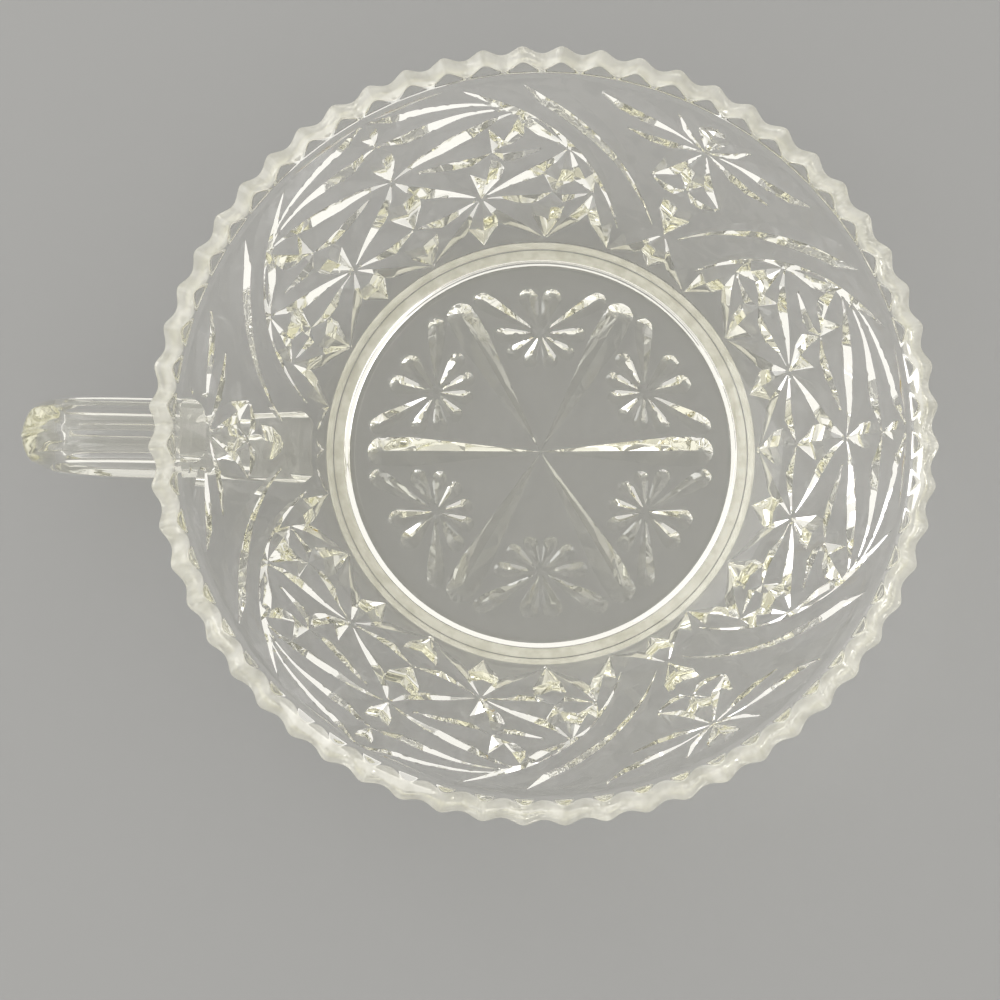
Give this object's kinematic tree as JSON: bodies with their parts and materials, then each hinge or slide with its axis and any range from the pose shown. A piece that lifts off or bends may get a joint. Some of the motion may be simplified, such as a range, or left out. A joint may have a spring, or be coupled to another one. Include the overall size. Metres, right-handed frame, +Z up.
{
  "type": "nappy bowl",
  "caption": "Round clear pressed-glass bowl with a scalloped rim, star and swirl mitre pattern, foot ring and a finger-loop handle, for serving small portions.",
  "frame": {"origin": "middle of the footprint of bowl and handle, on the plane that the foot ring stands on; the bowl's own axis is 13.5 mm towards +X", "axes": "+Z up along the bowl's axis; the handle points along -X"},
  "size_m": [0.1787, 0.1518, 0.037],
  "materials": {
    "bowl_glass": "fire-polished pressed glass",
    "handle_glass": "fire-polished pressed glass"
  },
  "bodies": {
    "root": {"bowl": "bowl_glass", "handle": "handle_glass"}
  },
  "joints": []
}
